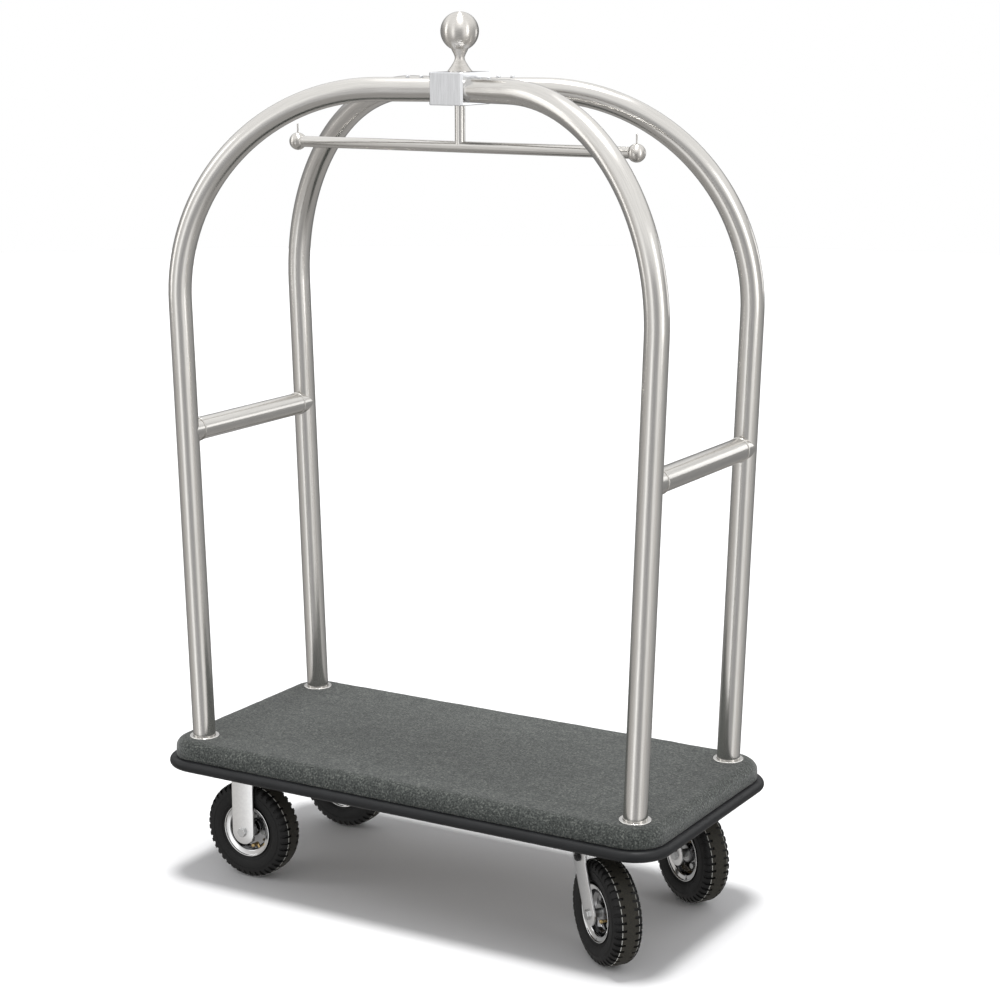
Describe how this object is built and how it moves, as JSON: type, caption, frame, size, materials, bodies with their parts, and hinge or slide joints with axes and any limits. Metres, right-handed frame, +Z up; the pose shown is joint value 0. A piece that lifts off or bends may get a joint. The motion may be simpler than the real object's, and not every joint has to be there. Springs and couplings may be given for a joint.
{
  "type": "hotel luggage cart",
  "caption": "Hotel luggage cart: carpeted deck on swivel and fixed pneumatic casters, bent tube arches meeting in a hub with finial, garment rail and push bars",
  "frame": {"origin": "on the floor under the middle of the deck, halfway between the two pairs of posts", "axes": "+X along the deck towards the end with the swivel casters, -Y the front long side, +Z up; the fixed casters are at the -X end"},
  "size_m": [1.258, 0.6188, 1.9294],
  "materials": {
    "plywood": "plywood edge and underside",
    "frame_steel": "black painted steel tube",
    "carpet": "charcoal cut pile",
    "bumper_rubber": "matt black extruded rubber",
    "satin_tube": "satin stainless steel",
    "plug_steel": "turned steel",
    "zinc_fastener": "bright zinc",
    "satin_cast": "satin machined steel",
    "satin_rail": "satin stainless steel",
    "zinc_plate": "zinc plated strap steel",
    "dark_bolt": "black oxide",
    "tyre": "black tread rubber",
    "rim_chrome": "chrome plated sheet steel",
    "bearing_steel": "ground steel",
    "brass": "brass valve stem"
  },
  "bodies": {
    "frame": {"deck_board": "plywood", "deck_frame": "frame_steel", "deck_carpet": "carpet", "deck_bumper": "bumper_rubber", "arch_tube_front_left": "satin_tube", "arch_tube_front_right": "satin_tube", "arch_tube_back_right": "satin_tube", "arch_tube_back_left": "satin_tube", "push_bar_left": "satin_tube", "push_bar_right": "satin_tube", "post_collars": "satin_tube", "post_plugs": "plug_steel", "post_bolts": "zinc_fastener", "caster_plate_bolts": "zinc_fastener", "swivel_kingpins": "zinc_fastener", "finial_stud": "zinc_fastener", "rigid_axles": "zinc_fastener", "hub_block": "satin_cast", "finial": "satin_cast", "hub_set_screws": "satin_cast", "hanger_stem": "satin_rail", "hanger_rail": "satin_rail", "hanger_ball_left": "satin_rail", "hanger_ball_right": "satin_rail", "hanger_pins": "satin_rail", "rigid_fork_front": "zinc_plate", "rigid_fork_back": "zinc_plate", "swivel_plate_front": "zinc_plate", "swivel_plate_back": "zinc_plate"},
    "swivel_front": {"swivel_fork_front": "zinc_plate", "crown_bolts_front": "dark_bolt", "swivel_axle_front": "zinc_fastener"},
    "swivel_back": {"swivel_fork_back": "zinc_plate", "crown_bolts_back": "dark_bolt", "swivel_axle_back": "zinc_fastener"},
    "wheel_front_left": {"tyre_front_left": "tyre", "rim_plain_side_front_left": "rim_chrome", "rim_valve_side_front_left": "rim_chrome", "rim_bolts_front_left": "rim_chrome", "wheel_bearings_front_left": "bearing_steel", "valve_stem_front_left": "brass"},
    "wheel_front_right": {"tyre_front_right": "tyre", "rim_plain_side_front_right": "rim_chrome", "rim_valve_side_front_right": "rim_chrome", "rim_bolts_front_right": "rim_chrome", "wheel_bearings_front_right": "bearing_steel", "valve_stem_front_right": "brass"},
    "wheel_back_right": {"tyre_back_right": "tyre", "rim_plain_side_back_right": "rim_chrome", "rim_valve_side_back_right": "rim_chrome", "rim_bolts_back_right": "rim_chrome", "wheel_bearings_back_right": "bearing_steel", "valve_stem_back_right": "brass"},
    "wheel_back_left": {"tyre_back_left": "tyre", "rim_plain_side_back_left": "rim_chrome", "rim_valve_side_back_left": "rim_chrome", "rim_bolts_back_left": "rim_chrome", "wheel_bearings_back_left": "bearing_steel", "valve_stem_back_left": "brass"}
  },
  "joints": [
    {"name": "swivel_front_turn", "type": "hinge", "parent": "frame", "child": "swivel_front", "pos_m": [0.446, -0.197, 0.24], "axis": [0, 0, 1], "continuous": true},
    {"name": "swivel_back_turn", "type": "hinge", "parent": "frame", "child": "swivel_back", "pos_m": [0.446, 0.197, 0.24], "axis": [0, 0, 1], "continuous": true},
    {"name": "wheel_front_left_spin", "type": "hinge", "parent": "frame", "child": "wheel_front_left", "pos_m": [-0.441, -0.19, 0.112], "axis": [0, 1, 0], "continuous": true},
    {"name": "wheel_back_left_spin", "type": "hinge", "parent": "frame", "child": "wheel_back_left", "pos_m": [-0.441, 0.19, 0.112], "axis": [0, 1, 0], "continuous": true},
    {"name": "wheel_front_right_spin", "type": "hinge", "parent": "swivel_front", "child": "wheel_front_right", "pos_m": [0.48645, -0.22639, 0.112], "axis": [0.5878, 0.809, 0], "continuous": true},
    {"name": "wheel_back_right_spin", "type": "hinge", "parent": "swivel_back", "child": "wheel_back_right", "pos_m": [0.48886, 0.17125, 0.112], "axis": [0.515, 0.8572, 0], "continuous": true}
  ]
}
